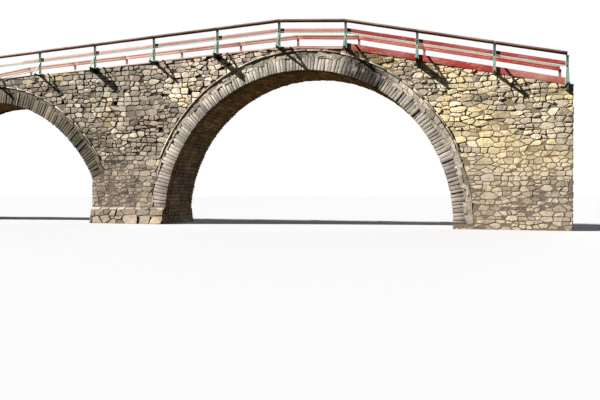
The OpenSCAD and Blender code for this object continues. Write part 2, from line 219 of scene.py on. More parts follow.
def stoneMaterial(name, shades, dirt, dirtAmount, spread=(0.7, 1.24), joint=0.2, lowShade=None, lowTop=3.1, darkening=0.0,
                  rightGlow=0.0, soot=0.0, under=None):
    g = Graph(bpy.data.materials.new(name))
    light, hue, face = g.tone(0), g.tone(1), g.tone(2)
    pick = g.math("ADD", hue, (g.grain(grains["patch"], 3.0) - 0.5) * 0.35, clamp=True)
    colour = g.blend(g.between(pick, 0.05, 0.4), shades[0], shades[1])
    colour = g.blend(g.between(pick, 0.4, 0.72), colour, shades[2])
    colour = g.blend(g.between(pick, 0.78, 0.98), colour, shades[3])
    if lowShade:
        low = g.between(g.axis(2), 1.2, lowTop, 1.0, 0.0) * g.between(g.grain(1.7), 0.25, 0.65, 0.35, 1.0)
        colour = g.blend(low, colour, lowShade)
    veins, fine = g.grain(grains["veins"], 6.0, 0.65, distort=0.8), g.grain(grains["fine"], 5.0, 0.7)
    shade = g.between(light, 0.0, 1.0, *spread) * g.between(veins, 0.25, 0.75, 0.74, 1.16)
    shade = shade * g.between(fine, 0.3, 0.7, 0.84, 1.1)
    colour = colour * g.tint(shade, shade, shade)
    weather = g.between(g.grain(grains["weather"], 6.0, 0.65), 0.45, 0.64)
    weather = weather * g.between(g.grain(grains["specks"], 5.0, 0.7), 0.32, 0.6)
    colour = g.blend(weather * dirtAmount, colour, dirt)
    if rightGlow:
        colour = wallGlow(g, colour, rightGlow)
    if soot:
        colour = darkPatches(g, colour, soot)
    if under:
        colour = underTint(g, colour, under)
    # damp stain together with painted shade of plants, darker low on the wall over the pier
    if darkening:
        damp = g.between(g.axis(2), 3.4, 4.6, 1.0, 0.0) * g.near(wallTones["damp"], 0.6, 2.6)
        damp = damp * g.between(g.grain(3.0, 5.0, 0.6), 0.4, 0.58)
        colour = g.blend(damp * darkening, colour, wallTones["dampAndShadeInk"])
    lichen = g.between(g.cells(grains["lichen"]), 0.05, 0.22, 1.0, 0.0) * g.between(g.grain(1.3, 3.0), 0.5, 0.62)
    colour = g.blend(lichen * wallTones["lichen"], colour, wallTones["lichenInk"])
    # painted shade: each stone's sides grow darker down towards the joints, by the share joint
    edge = g.between(face, 0.05, 0.85, joint, 1.0)
    colour = colour * g.tint(edge, edge * 0.97, edge * 0.92)
    rise = fine * 0.3 + veins * 0.6 + g.between(g.cells(grains["pits"]), 0.0, 0.5) * 0.35
    return g.finish(colour, g.between(veins, 0.2, 0.8, 0.82, 0.98), rise, 0.85, 0.016, gloss=0.2)


mortarTones = {"right": (8.6, 9.8), "low": (1.4, 2.9), "lowInk": ink(96, 86, 78)}


def mortarMaterial(name, base, dark, low=None, right=None):
    g = Graph(bpy.data.materials.new(name))
    lumps = g.grain(16.0, 6.0, 0.7)
    colour = g.blend(g.between(lumps, 0.3, 0.7), dark, base)
    colour = g.blend(g.between(g.grain(1.4, 3.0), 0.45, 0.7, 0.0, 0.5), colour, dark)
    if right:
        colour = g.blend(g.between(g.axis(0), *mortarTones["right"], 0.0, 0.75), colour, right)
    if low:
        pointed = g.between(g.axis(2), *mortarTones["low"], 1.0, 0.0) * g.between(g.grain(1.9), 0.3, 0.6, 0.25, 1.0)
        colour = g.blend(pointed, colour, g.blend(g.between(lumps, 0.3, 0.7), mortarTones["lowInk"], low))
    return g.finish(colour, 0.95, lumps + g.cells(34.0) * 0.5, 0.9, 0.02, gloss=0.15)


steelTones = {"inside": ink(150, 62, 52), "darkRust": ink(70, 42, 28), "paleRust": ink(122, 74, 44)}


def paintedSteel(name, paint, pale, rustAmount):
    g = Graph(bpy.data.materials.new(name))
    worn = g.grain(17.0, 7.0, 0.72)
    streak = g.grain(6.0, 5.0, 0.6, place=g.stretch((6.0, 6.0, 0.9)))
    colour = g.blend(g.between(streak, 0.35, 0.7), paint, pale)
    colour = g.blend(g.facing(1, walkway=True) * 0.85, colour, steelTones["inside"])
    rust = g.between(worn, 0.56, 0.66) * rustAmount
    rustColour = g.blend(g.between(g.grain(60.0), 0.35, 0.65), steelTones["darkRust"], steelTones["paleRust"])
    height = g.grain(90.0, 3.0) * 0.3 + rust * -0.8
    return g.finish(g.blend(rust, colour, rustColour), g.between(worn, 0.4, 0.66, 0.48, 0.85), height, 0.4, 0.002,
                    gloss=0.4)


def wornWood(name, paint, faded, bare, inner=None, top=None, white=None):
    g = Graph(bpy.data.materials.new(name))
    light, age = g.tone(0), g.tone(1)
    fibre = g.grain(7.0, 6.0, 0.6, place=g.stretch((0.8, 14.0, 14.0)), distort=0.4)
    flake = g.grain(5.0, 7.0, 0.75, place=g.stretch((1.0, 3.0, 3.0)))
    blush = g.grain(1.1, 3.0, 0.5, place=g.stretch((0.8, 1.0, 1.0)))
    colour = g.blend(g.math("ADD", age, (blush - 0.5) * 0.9, clamp=True), paint, faded)
    colour = g.blend(g.between(flake, 0.53, 0.6) * g.between(age, 0.0, 1.0, 0.35, 1.0), colour, bare)
    if white:  # the near side's first board is painted white
        first = g.between(g.axis(0), -5.3, -5.1, 0.9, 0.0) * g.between(g.axis(1), -0.1, 0.1, 1.0, 0.0)
        colour = g.blend(first, colour, white)
    if inner:
        colour = g.blend(g.facing(1, walkway=True) * g.between(flake, 0.35, 0.55, 0.6, 1.0), colour, inner)
    if top:
        colour = g.blend(g.facing(2) * g.between(flake, 0.35, 0.5, 0.5, 1.0), colour, top)
    shade = g.between(light, 0.0, 1.0, 0.82, 1.16) * g.between(fibre, 0.3, 0.7, 0.82, 1.1)
    return g.finish(colour * g.tint(shade, shade, shade), g.between(flake, 0.4, 0.6, 0.62, 0.85), fibre + flake * 0.4,
                    0.55, 0.004)


stoneLooks = {
    "rubbleStone": {
        "shades": [ink(228, 211, 176), ink(214, 205, 192), ink(184, 176, 167), ink(206, 191, 178)],
        "dirt": ink(92, 84, 68), "dirtAmount": 0.5, "lowShade": ink(190, 178, 168), "spread": (0.6, 1.2),
        "darkening": 0.6, "rightGlow": 1.12},
    "endStone": {
        "shades": [ink(166, 153, 128), ink(156, 148, 138), ink(134, 127, 120), ink(150, 138, 128)],
        "dirt": ink(78, 71, 57), "dirtAmount": 0.5, "spread": (0.6, 1.2)},
    "archStone": {
        "shades": [ink(220, 214, 208), ink(206, 201, 196), ink(184, 180, 176), ink(216, 208, 197)],
        "dirt": ink(98, 91, 87), "dirtAmount": 0.45, "lowShade": ink(176, 166, 162), "spread": (0.73, 1.1),
        "joint": 0.5, "soot": 1.0, "under": mainArch},
    # the side ring's stones and its mortar are darker: partly dirt and moss, partly painted tree shade
    "oldArchStone": {
        "shades": [ink(154, 144, 129), ink(138, 129, 116), ink(112, 106, 97), ink(148, 135, 116)],
        "dirt": ink(60, 54, 45), "dirtAmount": 0.85, "spread": (0.58, 1.14), "joint": 0.45, "under": sideArch},
    "fillingStone": {
        "shades": [ink(224, 214, 196), ink(214, 206, 194), ink(186, 179, 170), ink(214, 203, 185)],
        "dirt": ink(98, 90, 78), "dirtAmount": 0.55, "spread": (0.66, 1.12), "joint": 0.35, "soot": 0.95},
    "slabStone": {
        "shades": [ink(220, 212, 200), ink(204, 197, 187), ink(178, 171, 163), ink(214, 202, 182)],
        "dirt": ink(88, 80, 68), "dirtAmount": 0.45},
    "soffitStone": {
        "shades": [ink(214, 170, 106), ink(192, 154, 96), ink(166, 136, 90), ink(228, 182, 116)],
        "dirt": ink(104, 82, 52), "dirtAmount": 0.5, "lowShade": ink(132, 116, 106), "lowTop": 5.0},
    "footStone": {
        "shades": [ink(180, 168, 154), ink(166, 156, 146), ink(142, 134, 126), ink(186, 168, 152)],
        "dirt": ink(84, 76, 66), "dirtAmount": 0.55},
    "flagStone": {
        "shades": [ink(128, 122, 110), ink(118, 113, 102), ink(104, 99, 90), ink(130, 120, 102)],
        "dirt": ink(78, 74, 60), "dirtAmount": 0.5}}
mortarLooks = {
    "mortar": {"base": ink(96, 84, 67), "dark": ink(38, 32, 24), "low": ink(150, 136, 126),
               "right": ink(160, 142, 114)},
    "ringMortar": {"base": ink(164, 153, 138), "dark": ink(104, 94, 82), "low": ink(118, 106, 98),
                   "right": ink(126, 114, 101)},
    "oldMortar": {"base": ink(92, 82, 68), "dark": ink(46, 40, 32)},
    "shadeMortar": {"base": ink(50, 41, 29), "dark": ink(26, 21, 15)}}
# posts and braces share one green paint: the posts' is made paler as painted light on their shaded channels, the
# braces' darker as painted shade on their sunlit faces
steelLooks = {
    "greenSteel": {"paint": ink(156, 186, 176), "pale": ink(200, 212, 204), "rustAmount": 0.5},
    "braceSteel": {"paint": ink(70, 104, 92), "pale": ink(116, 146, 130), "rustAmount": 0.5},
    "darkSteel": {"paint": ink(26, 42, 35), "pale": ink(44, 66, 56), "rustAmount": 0.7},
    "paleSteel": {"paint": ink(140, 170, 152), "pale": ink(196, 206, 190), "rustAmount": 0.35}}
woodLooks = {
    "redPaint": {"paint": ink(168, 50, 46), "faded": ink(216, 184, 178), "bare": ink(188, 172, 156),
                 "white": ink(226, 230, 216)},
    "toePaint": {"paint": ink(164, 50, 46), "faded": ink(226, 210, 192), "bare": ink(206, 190, 168)},
    "railPaint": {"paint": ink(108, 56, 48), "faded": ink(214, 186, 172), "bare": ink(140, 104, 90),
                  "inner": ink(216, 158, 146), "top": ink(132, 88, 78)}}
finishes = {}
for make, looks in ((stoneMaterial, stoneLooks), (mortarMaterial, mortarLooks), (paintedSteel, steelLooks),
                    (wornWood, woodLooks)):
    for name, look in looks.items():
        finishes[name] = make(name, **look)
print(len(finishes), "materials made")


def newObject(name, data):
    made = bpy.data.objects.new(name, data)
    bpy.context.collection.objects.link(made)
    return made


def addPiece(name, mesh, finish):
    mesh.materials.append(finishes[finish])
    piece = newObject(name, mesh)
    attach(piece, "root")
    print(name, len(mesh.polygons), "faces")
    return piece


class Heap:  # many small solids that make one piece
    def __init__(self, name):
        self.name, self.points, self.faces, self.marks = name, [], [], []

    def add(self, points, faces, marks):
        base = len(self.points)
        self.points += points
        self.marks += marks
        self.faces += [tuple(base + i for i in f) for f in faces]

    def build(self, finish, slotName):
        mesh = bpy.data.meshes.new(self.name)
        mesh.from_pydata(self.points, [], self.faces)
        mesh.update()
        layer = mesh.attributes.new("mark", "FLOAT_COLOR", "POINT")
        layer.data.foreach_set("color", [c for m in self.marks for c in (*m, 1.0)])
        addPiece(self.name, mesh, finish)


def clip(poly, nx, ny, d):  # keeps what lies behind a line
    kept = []
    for i, (x1, y1) in enumerate(poly):
        x0, y0 = poly[i - 1]
        s0, s1 = nx * x0 + ny * y0 - d, nx * x1 + ny * y1 - d
        if (s0 > 0) != (s1 > 0):
            t = s0 / (s0 - s1)
            kept.append((x0 + t * (x1 - x0), y0 + t * (y1 - y0)))
        if s1 <= 0:
            kept.append((x1, y1))
    return kept


def areaOf(poly):
    return abs(sum(poly[i - 1][0] * p[1] - p[0] * poly[i - 1][1] for i, p in enumerate(poly))) / 2


def middle(poly):
    return sum(p[0] for p in poly) / len(poly), sum(p[1] for p in poly) / len(poly)


# how stones are laid where a piece doesn't say otherwise, in metres: how far their faces rise over the wall, how
# much a face leans, half the joint's width, and the area below which some are left out
usualStones = {"wide": 0.27, "tall": 0.165, "rise": (0.008, 0.024), "slope": 0.1, "joint": (0.004, 0.024),
               "pits": 0.0, "growth": None, "tint": None, "shade": None, "relief": None}
coursing = {"size": (0.9, 2.6), "cut": (1.1, 2.3), "squash": 0.48, "small": 0.003, "left": 0.0025, "missing": 0.4}
stoneWear = {"corner": 0.28, "bend": 0.05, "edge": 0.008}


def split(box, wide, tall, rnd, out):
    # divides a block of a course into stones with broken joints
    x0, x1, z0, z1 = box
    w, h = x1 - x0, z1 - z0
    if h > tall * rnd.uniform(*coursing["cut"]) and w > 0.6 * wide:
        cut = z0 + h * rnd.uniform(0.34, 0.66)
        split((x0, x1, z0, cut), wide, tall, rnd, out)
        split((x0, x1, cut, z1), wide, tall, rnd, out)
    elif w > wide * rnd.uniform(*coursing["cut"]) or w > h * 3.2:
        cut = x0 + w * rnd.uniform(0.32, 0.68)
        split((x0, cut, z0, z1), wide, tall, rnd, out)
        split((cut, x1, z0, z1), wide, tall, rnd, out)
    else:
        out.append(box)


def layCourses(area, stones, rnd):
    x0, x1, z0, z1 = area
    wide, tall, growth = stones["wide"], stones["tall"], stones["growth"]
    boxes = []
    z = z0
    while z < z1:
        course = tall * rnd.uniform(*coursing["size"])
        x = x0 - rnd.uniform(0, wide)
        while x < x1:
            grow = growth(x, z) if growth else 1.0
            run = wide * grow * rnd.uniform(*coursing["size"])
            split((x, x + run, z, z + course), wide * grow, tall * grow, rnd, boxes)
            x += run
        z += course
    return boxes


def packedCells(boxes, joint, rnd):
    # slanting cells round the middles of the blocks, wider than tall, with joints of uneven width
    squash = coursing["squash"]
    seeds = [((a + b) / 2 + rnd.gauss(0, 0.1) * (b - a), (c + d) / 2 + rnd.gauss(0, 0.12) * (d - c),
              0.3 * (d - c) + 0.12 * (b - a)) for a, b, c, d in boxes]
    reach = 3.4 * max(s[2] for s in seeds)
    grid = {}
    for i, s in enumerate(seeds):
        grid.setdefault((int(s[0] * squash / reach + 1000), int(s[1] / reach + 1000)), []).append(i)
    cells = []
    for i, (x, y, size) in enumerate(seeds):
        gx, gy = int(x * squash / reach + 1000), int(y / reach + 1000)
        near = [j for a in (-1, 0, 1) for b in (-1, 0, 1) for j in grid.get((gx + a, gy + b), []) if j != i]
        left, right = x - reach / squash, x + reach / squash
        poly = [(left, y - reach), (right, y - reach), (right, y + reach), (left, y + reach)]
        for j in near:
            ox, oy, other = seeds[j]
            dx, dy = (ox - x) * squash * squash, oy - y
            span = (ox - x) ** 2 * squash * squash + dy * dy
            if span > 4 * reach * reach:
                continue
            share = min(max(0.5 + (size * size - other * other) / (2 * span), 0.25), 0.75)
            d = dx * (x + share * (ox - x)) + dy * (y + share * (oy - y))
            length = math.hypot(dx, dy)
            poly = clip(poly, dx / length, dy / length, d / length - rnd.uniform(*joint))
            if len(poly) < 3:
                break
        if len(poly) >= 3 and areaOf(poly) > coursing["small"]:
            cells.append((x, y, poly))
    return cells


def roughened(poly, rnd):
    # uneven sides and broken corners, bent by the slow swing of the beds
    small = math.sqrt(areaOf(poly))
    kept = [p for i, p in enumerate(poly) if math.hypot(p[0] - poly[i - 1][0], p[1] - poly[i - 1][1]) > 0.12 * small]
    if len(kept) < 3:
        return poly
    line = []
    for i, (x, z) in enumerate(kept):
        (x0, z0), (x1, z1) = kept[i - 1], kept[(i + 1) % len(kept)]
        for ox, oz in ((x0, z0), (x1, z1)):
            t = rnd.uniform(0.04, stoneWear["corner"]) * rnd.uniform(0.3, 1.0)
            line.append((x + (ox - x) * t, z + (oz - z) * t))
        if math.hypot(x1 - x, z1 - z) > 0.13:
            t, w = rnd.uniform(0.36, 0.64), rnd.uniform(-0.012, 0.008)
            line.append((x + (x1 - x) * t + w * (z1 - z) / small, z + (z1 - z) * t - w * (x1 - x) / small))
    bent, far = [], stoneWear["bend"]
    for x, z in line:
        slow = noise.noise_vector(Vector((x * 0.9, z * 0.9, 1.7)))
        quick = noise.noise_vector(Vector((x * 3.1, z * 3.1, 6.1)))
        bent.append((x + far * slow.x + 0.3 * far * quick.x, z + far * slow.y + 0.3 * far * quick.y))
    return bent


def stoneOn(heap, poly, place, rnd, stones):
    # a stone with a worn edge and a hewn, leaning face; place(u, v, h) gives the point at height h over the wall
    cx, cy = middle(poly)
    rise, slope = rnd.uniform(*stones["rise"]), stones["slope"]
    if stones["relief"]:
        bold = stones["relief"](cx, cy)
        rise, slope = rise * bold, slope * bold
    tx, ty = rnd.gauss(0, slope * 0.6), rnd.gauss(0, slope * 0.6)
    light, hue = rnd.random(), rnd.random()
    if stones["tint"]:
        hue = min(1.0, max(0.0, 0.5 * hue + stones["tint"](cx, cy)))
    if stones["shade"]:
        light = min(1.0, max(0.0, 0.75 * light + stones["shade"](cx, cy)))
    span = math.sqrt(areaOf(poly))
    points, marks = [], []
    worn = min(stoneWear["edge"], span * 0.1)
    for inset, share, mark in ((0.0, -0.2, 0.0), (0.0, 0.5, 0.4), (worn, 0.92, 0.9), (span * 0.2, 1.0, 1.0)):
        for x, y in poly:
            dx, dy = cx - x, cy - y
            away = max(math.hypot(dx, dy), 1e-6)
            step = min(inset, away * 0.6)
            u, v = x + dx / away * step, y + dy / away * step
            chip = rnd.uniform(-0.16, 0.16) * rise if share > 0.6 else 0.0
            lean = (u - cx) * tx + (v - cy) * ty if share > 0.4 else 0.0
            points.append(place(u, v, max(rise * share + chip + lean, 0.004) if share > 0 else -0.006))
            marks.append((light, hue, mark))
    count = len(poly)
    points.append(place(cx, cy, rise * rnd.uniform(0.95, 1.25)))
    marks.append((light, hue, 1.0))
    faces = []
    for low in (0, count, 2 * count):
        high = low + count
        faces += [(low + i, low + (i + 1) % count, high + (i + 1) % count, high + i) for i in range(count)]
    faces += [(3 * count + i, 3 * count + (i + 1) % count, 4 * count) for i in range(count)]
    heap.add(points, faces, marks)


def layStones(heap, area, stones, place, rnd, edges=None, bounds=(), keep=None, flip=False):
    stones = {**usualStones, **stones}
    laid = 0
    for cx, cz, poly in packedCells(layCourses(area, stones, rnd), stones["joint"], rnd):
        if keep and not keep(cx, cz):
            continue
        poly = roughened(poly, rnd)
        for edge in (edges(cx, cz) if edges else []) + list(bounds):
            if len(poly) >= 3:
                poly = clip(poly, *edge)
        if len(poly) < 3 or areaOf(poly) < coursing["left"]:
            continue
        if areaOf(poly) < stones["pits"] and rnd.random() < coursing["missing"]:
            continue
        stoneOn(heap, poly[::-1] if flip else poly, place, rnd, stones)
        laid += 1
    return laid


# rubble walls: how far their stones stay from what they meet, at lines written as (nx, nz, d)
wallGaps = {"arch": 0.006, "seat": 0.008, "deck": 0.012, "putlog": 0.075, "heavyBeam": (0.054, 0.204),
            "lightBeam": (0.039, 0.07), "stringFrom": 2.6, "reach": 7.0}


def arcEdge(arch, radius, x, z):
    dx, dz = x - arch["x"], z - arch["z"]
    away = math.hypot(dx, dz)
    if away > radius + 1.3:
        return []
    return [(-dx / away, -dz / away, -(dx * arch["x"] + dz * arch["z"]) / away - radius - wallGaps["arch"])]


def boxEdge(x, z, x0, x1, z0, z1):
    # keeps a stone on its own side of a rectangular hole
    if x < x0 - 1 or x > x1 + 1 or z < z0 - 1 or z > z1 + 1:
        return []
    gaps = [(x0 - x, (1, 0, x0)), (x - x1, (-1, 0, -x1)), (z0 - z, (0, 1, z0)), (z - z1, (0, -1, -z1))]
    return [max(gaps)[1]]


deckEdges = []
for (x0, z0), (x1, z1) in zip(deckLine, deckLine[1:]):
    slope = (z1 - z0) / (x1 - x0)
    size = math.hypot(slope, 1)
    deckEdges.append((-slope / size, 1 / size, (z0 - slope * x0) / size - wallGaps["deck"]))
wallBounds = [(0, -1, 0.0), (1, 0, bridge["face"]), (-1, 0, bridge["face"])] + deckEdges


def ringReach(arch, z):
    return arch["r"] + bridge["ring"] + (bridge["string"] if z > wallGaps["stringFrom"] else 0.0)


def overSeat(x, z):  # above the slanting seats of the side arch
    dx, dz = abs(x - sideArch["x"]), z - sideArch["z"]
    return math.atan2(dz, dx) > sideAngle - 0.01


def onWall(x, z):
    if z < 0.0 or z > deckAt(x) + 0.06 or abs(x) > bridge["face"] + 0.1:
        return False
    for arch in (mainArch, sideArch):
        inner = math.hypot(x - arch["x"], z - arch["z"]) < ringReach(arch, z) - 0.04
        if inner and (arch is mainArch and z > mainArch["z"] - 0.1 or arch is sideArch and overSeat(x, z)):
            return False
    if z < 3 and (abs(x - mainArch["x"]) < mainArch["r"] - 0.05 or abs(x - sideArch["x"]) < sideSpan / 2 - 0.05):
        return False
    return all(abs(x - px) > 0.06 or abs(z - pz) > 0.06 for px, pz in putlogs)


def wallEdges(x, z):
    edges = []
    if z > mainArch["z"] - 0.1:
        edges += arcEdge(mainArch, ringReach(mainArch, z), x, z)
    elif abs(x - mainArch["x"]) < wallGaps["reach"]:
        side = 1 if x > mainArch["x"] else -1
        edges += [(-side, 0, -side * mainArch["x"] - mainArch["r"]), (0, 1, mainArch["z"] - wallGaps["seat"])]
    side = 1 if x > sideArch["x"] else -1
    corner = (sideArch["r"] + bridge["ring"]) * math.cos(sideAngle)
    if overSeat(x, z):
        edges += arcEdge(sideArch, ringReach(sideArch, z), x, z)
    elif abs(x - sideArch["x"]) < corner:
        s, c = math.sin(sideAngle), math.cos(sideAngle)
        edges += [(-side, 0, -side * sideArch["x"] - sideSpan / 2),
                  (-side * s, c, -side * s * sideArch["x"] + c * sideArch["z"] - wallGaps["seat"])]
    elif abs(x - sideArch["x"]) < wallGaps["reach"]:
        edges += [(-side, 0, -side * sideArch["x"] - corner)]
    gap = wallGaps["putlog"]
    for px, pz in putlogs:
        edges += boxEdge(x, z, px - gap, px + gap, pz - gap, pz + gap)
    for i, px in enumerate(postX):
        top = deckAt(px)
        half, tall = wallGaps["heavyBeam" if i in heavyPosts else "lightBeam"]
        edges += boxEdge(x, z, px - half, px + half, top - tall, top + 0.02)
    return edges


patches = {"hue": 0.34, "light": 0.13, "right": 9.3, "yellower": 0.34, "lighter": 0.16, "smaller": 0.96,
           "lowSmaller": 0.9}


def stoneGrowth(x, z):
    # larger and smaller stones by patches
    grow = 1.0 + 0.25 * noise.noise(Vector((x * 0.5, z * 0.5, 4.0)))
    if x > 9.5:
        grow *= patches["smaller"]
    return grow * (patches["lowSmaller"] if z < 2.2 else 1.0)


def stoneTint(x, z):
    # creamy and grey patches of wall, with the stones on the right more yellow
    swing = 0.75 * noise.noise(Vector((x * 0.45, z * 0.7, 9.0)))
    return patches["hue"] + swing - (patches["yellower"] if x > patches["right"] else 0.0)


def stoneShade(x, z):
    # darker and lighter clusters of stones
    swing = 0.6 * noise.noise(Vector((x * 1.3, z * 1.7, 14.0)))
    return patches["light"] + swing + (patches["lighter"] if x > patches["right"] else 0.0)


def stoneRelief(x, z):
    # the lower wall and some patches are pointed nearly flush
    return max(0.25, min(1.0, 0.35 + (z - 2.5) * 0.6) + 0.8 * min(0.0, noise.noise(Vector((x * 0.8, z * 0.9, 21.0)))))


wallStones = {"rise": (0.005, 0.04), "pits": 0.014, "growth": stoneGrowth, "tint": stoneTint, "shade": stoneShade,
              "relief": stoneRelief}
for name, side, seed in (("rubbleFront", -1, 7), ("rubbleBack", 1, 19)):
    heap = Heap(name)
    face = side * bridge["halfWidth"]
    laid = layStones(heap, (-16.6, 16.6, -0.05, 6.8), wallStones, lambda u, v, h: (u, face + side * h, v),
                     random.Random(seed), edges=wallEdges, bounds=wallBounds, keep=onWall, flip=side > 0)
    print(laid, "stones")
    heap.build("rubbleStone", "rubble_stone")

# ends of the bridge, the pier's flanks and the abutments under the arches, as (x, side, top, most rise, seed)
flankWalls = [(bridge["face"], 1, deckAt(bridge["face"]), 0.028, 3),
              (-bridge["face"], -1, deckAt(-bridge["face"]), 0.028, 4),
              (-1.7, -1, sideFoot, 0.03, 5), (1.7, 1, mainArch["z"], 0.03, 6),
              (-12.5, 1, sideFoot, 0.03, 8), (12.7, -1, mainArch["z"], 0.03, 9)]
flankHalf = 1.045
flanks = Heap("rubbleFlanks")
for x, side, top, most, seed in flankWalls:
    layStones(flanks, (-1.1, 1.1, -0.03, top + 0.02), {}, lambda u, v, h: (x + side * min(h, most), u, v),
              random.Random(seed), bounds=[(0, -1, 0), (0, 1, top - 0.01), (1, 0, flankHalf), (-1, 0, flankHalf)],
              flip=side < 0)
# the flanks take a darker stone than the walls, as painted shade for the end that faces the sun
flanks.build("endStone", "rubble_stone")


def islands(name):
    # the separate solids of a CAD node, as bmesh with joined corners
    bm = bmesh.new()
    bm.from_mesh(nodes[name].data)
    bm.verts.layers.float_color.new("mark")
    bmesh.ops.remove_doubles(bm, verts=bm.verts, dist=2e-5)
    bmesh.ops.dissolve_limit(bm, angle_limit=0.02, verts=bm.verts, edges=bm.edges)
    bm.verts.ensure_lookup_table()
    seen, groups = set(), []
    for v in bm.verts:
        if v.index in seen:
            continue
        stack, group = [v], []
        seen.add(v.index)
        while stack:
            w = stack.pop()
            group.append(w)
            for e in w.link_edges:
                o = e.other_vert(w)
                if o.index not in seen:
                    seen.add(o.index)
                    stack.append(o)
        groups.append(group)
    return bm, groups


def dressed(name, node, finish, shape, dress, seed):
    # a copy of a node's solids with shifted corners, worn edges and uneven faces
    rnd = random.Random(seed)
    bm, groups = islands(node)
    layer = bm.verts.layers.float_color["mark"]
    for group in groups:
        light, hue = shape(group, rnd)
        for v in group:
            v[layer] = (light, hue, 1.0, 1.0)
    if dress["cuts"]:
        long = [e for e in bm.edges if e.calc_length() > 0.9]
        bmesh.ops.subdivide_edges(bm, edges=long, cuts=dress["cuts"], use_grid_fill=True)
    sharp = [e for e in bm.edges if len(e.link_faces) == 2 and e.calc_face_angle(0) > 0.5]
    bmesh.ops.bevel(bm, geom=sharp, offset=dress["bevel"], offset_type="OFFSET", segments=dress["segments"],
                    profile=0.6, affect="EDGES", clamp_overlap=True)
    for v in bm.verts:
        v.co += noise.noise_vector(v.co * 6.0) * dress["rough"]
    mesh = bpy.data.meshes.new(name)
    bm.to_mesh(mesh)
    bm.free()
    mesh.polygons.foreach_set("use_smooth", [True] * len(mesh.polygons))
    piece = addPiece(name, mesh, finish)
    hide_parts(node)


# arch stones, string courses, and what lies between and behind them, with turns in radians from the arch's right
ringDress = {"bevel": 0.006, "rough": 0.006, "cuts": 0, "segments": 2}
stringDress = {"bevel": 0.01, "rough": 0.006, "cuts": 0, "segments": 1}
ringShape = {"proud": 0.003, "uneven": 0.018, "smooth": 0.3, "usual": 0.75, "crown": (1.1, 2.0),
             "darkTurns": (0.5, 1.25)}
stringShape = {"proud": 0.012, "lift": (-0.006, 0.004), "overRing": 0.02}
ringEnds = {"main": 0.21, "mainWave": 0.13, "side": 0.08, "sideWave": 0.16, "narrowFrom": 2.2, "crownAt": 1.5}
skin = 0.95  # corners further out than this are in a face of the bridge


def endGap(arch, turn):
    # how far the arch stones stop short of the string course, less at the main arch's crown and left foot
    wave = noise.noise(Vector((turn * 9.0, arch["x"], 2.0)))
    if arch is mainArch:
        falling = min(1.0, max(0.15, 1.0 - (turn - ringEnds["narrowFrom"]) * 1.6))
        falling *= min(1.0, 0.6 + abs(turn - ringEnds["crownAt"]) * 1.2)
        return max(0.0, (ringEnds["main"] + ringEnds["mainWave"] * wave) * falling)
    return max(0.0, ringEnds["side"] + ringEnds["sideWave"] * wave)


def archStoneShape(arch, side):
    def within(turn, span):
        return arch is mainArch and span[0] < turn < span[1]

    def shape(group, rnd):
        mid = arch["r"] + bridge["ring"] / 2
        turn = sum(math.atan2(v.co.z - arch["z"], v.co.x - arch["x"]) for v in group) / len(group)
        crown = within(turn, ringShape["crown"])
        smooth = ringShape["smooth"] if crown else ringShape["usual"]
        proud = ringShape["proud"] + rnd.uniform(0.0, ringShape["uneven"]) * smooth
        lean = rnd.uniform(-0.004, 0.008) * smooth
        longer, shorter = rnd.uniform(-0.014, 0.02), rnd.uniform(0.004, 0.04) + endGap(arch, turn)
        for v in group:
            dx, dz = v.co.x - arch["x"], v.co.z - arch["z"]
            r, a = math.hypot(dx, dz), math.atan2(dz, dx)
            shift = -longer * 0.6 if r < mid else -shorter
            a += math.copysign((rnd.uniform(-0.003, 0.003) if crown else rnd.uniform(0.0, 0.01)) / r, turn - a)
            v.co.x = arch["x"] + (r + shift) * math.cos(a)
            v.co.z = arch["z"] + (r + shift) * math.sin(a)
            if v.co.y * side > skin:
                v.co.y += side * (proud + (lean if r < mid else -lean) + rnd.uniform(-0.004, 0.004))
        # stones on the main ring's right shoulder are made darker
        return max(0.0, rnd.random() - (0.35 if within(turn, ringShape["darkTurns"]) else 0.0)), rnd.random()
    return shape


def slabShape(arch, side):
    def shape(group, rnd):
        proud = rnd.uniform(-stringShape["proud"], stringShape["proud"])
        lift = rnd.uniform(*stringShape["lift"])
        mid = arch["r"] + bridge["ring"] + bridge["string"] / 2
        for v in group:
            dx, dz = v.co.x - arch["x"], v.co.z - arch["z"]
            r = math.hypot(dx, dz)
            step = lift + (stringShape["overRing"] if r < mid else 0.0)
            v.co.x += dx / r * step
            v.co.z += dz / r * step
            if v.co.y * side > skin:
                v.co.y += side * proud
        return rnd.random(), rnd.random()
    return shape


for part, arch, finish in (("main", mainArch, "archStone"), ("side", sideArch, "oldArchStone")):
    for word, side in (("front", -1), ("back", 1)):
        dressed(f"{part}Ring{word.title()}", f"{part}_ring_{word}", finish, archStoneShape(arch, side),
                ringDress, 15 + side * 3)
        dressed(f"{part}String{word.title()}", f"{part}_string_{word}", "slabStone",
                slabShape(arch, side), stringDress, 44 + side * 5)

fillingStones = {"wide": 0.26, "tall": 0.15, "rise": (0.004, 0.016), "joint": (-0.002, 0.006), "depth": 0.34,
                 "overlap": 0.05, "least": 0.03, "seed": 141}


def ringFilling(name, arch, start, finish):
    # small stones between the arch stones' outer ends and the string course, on both faces
    heap, radius, ring = Heap(name), arch["r"], bridge["ring"]
    for side in (-1, 1):
        face = side * (bridge["halfWidth"] + 0.002)

        def place(u, v, h):
            away, turn = radius + v, u / radius
            return (arch["x"] + away * math.cos(turn), face + side * h, arch["z"] + away * math.sin(turn))

        def edges(u, v):
            return [(0, -1, endGap(arch, u / radius) - ring + fillingStones["overlap"])]

        length = (math.pi - start) * radius
        layStones(heap, (start * radius, length, ring - fillingStones["depth"], ring + 0.1), fillingStones, place,
                  random.Random(fillingStones["seed"] + side), edges=edges,
                  bounds=[(0, 1, ring - 0.008), (-1, 0, -start * radius), (1, 0, length)],
                  keep=lambda u, v: endGap(arch, u / radius) > fillingStones["least"], flip=side < 0)
    heap.build(finish, "arch_stone")


ringBed = {"steps": 240, "shares": (0.03, 0.25, 0.5, 0.75, 0.98), "crownDepth": 0.008, "depth": 0.014, "seed": 151}


